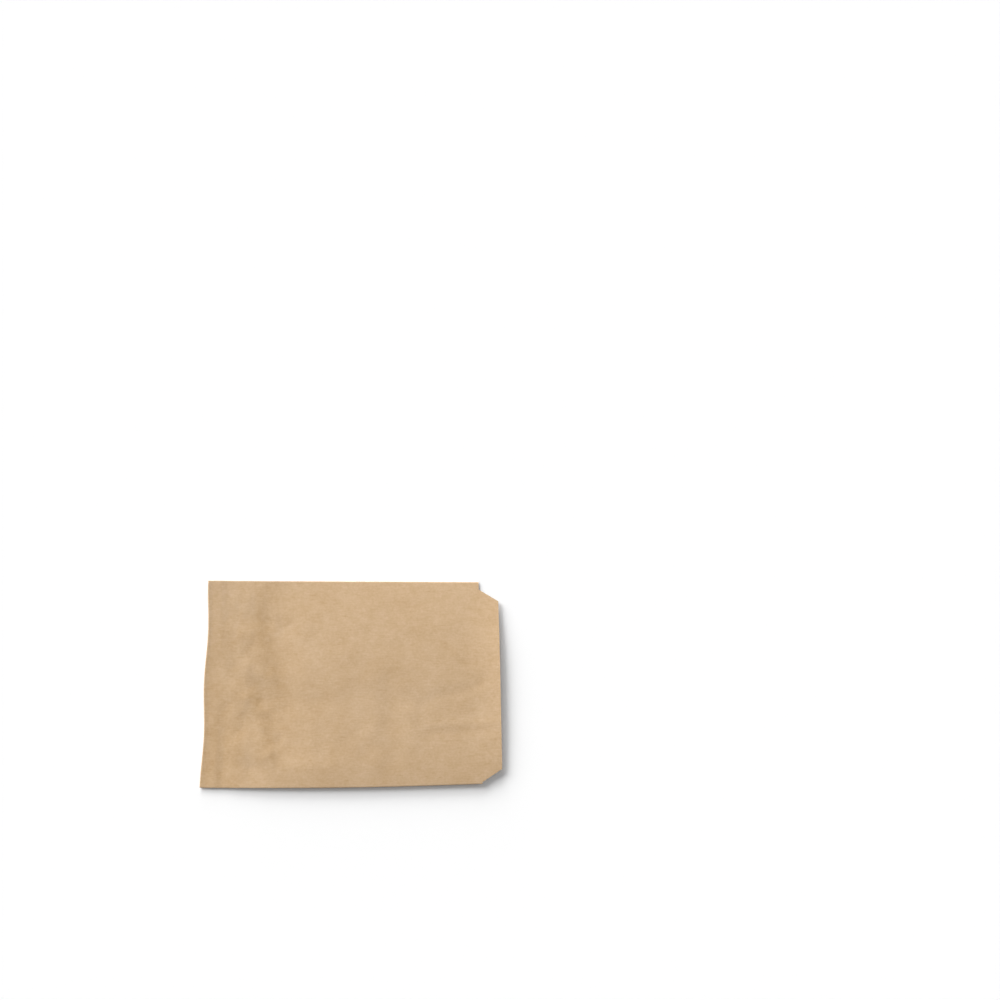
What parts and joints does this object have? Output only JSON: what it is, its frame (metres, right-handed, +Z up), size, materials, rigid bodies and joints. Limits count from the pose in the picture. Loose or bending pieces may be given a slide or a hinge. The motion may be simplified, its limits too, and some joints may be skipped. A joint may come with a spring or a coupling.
{
  "type": "flat kraft paper bag",
  "caption": "Empty flat brown paper lunch bag lying on its seam side: folded and pasted bottom, lapped back seam, open mouth whose front lip has cut corners.",
  "frame": {"origin": "on the surface that the bag lies on, below the middle of its outline, lip included", "axes": "+X along the bag from the folded bottom to the open mouth, +Y across it to the side fold that is uppermost in the picture, +Z up through the facing panel"},
  "size_m": [0.254, 0.178, 0.0062],
  "materials": {
    "kraft_paper": "matt unbleached brown kraft paper"
  },
  "bodies": {
    "root": {"paper_bag": "kraft_paper"}
  },
  "joints": []
}
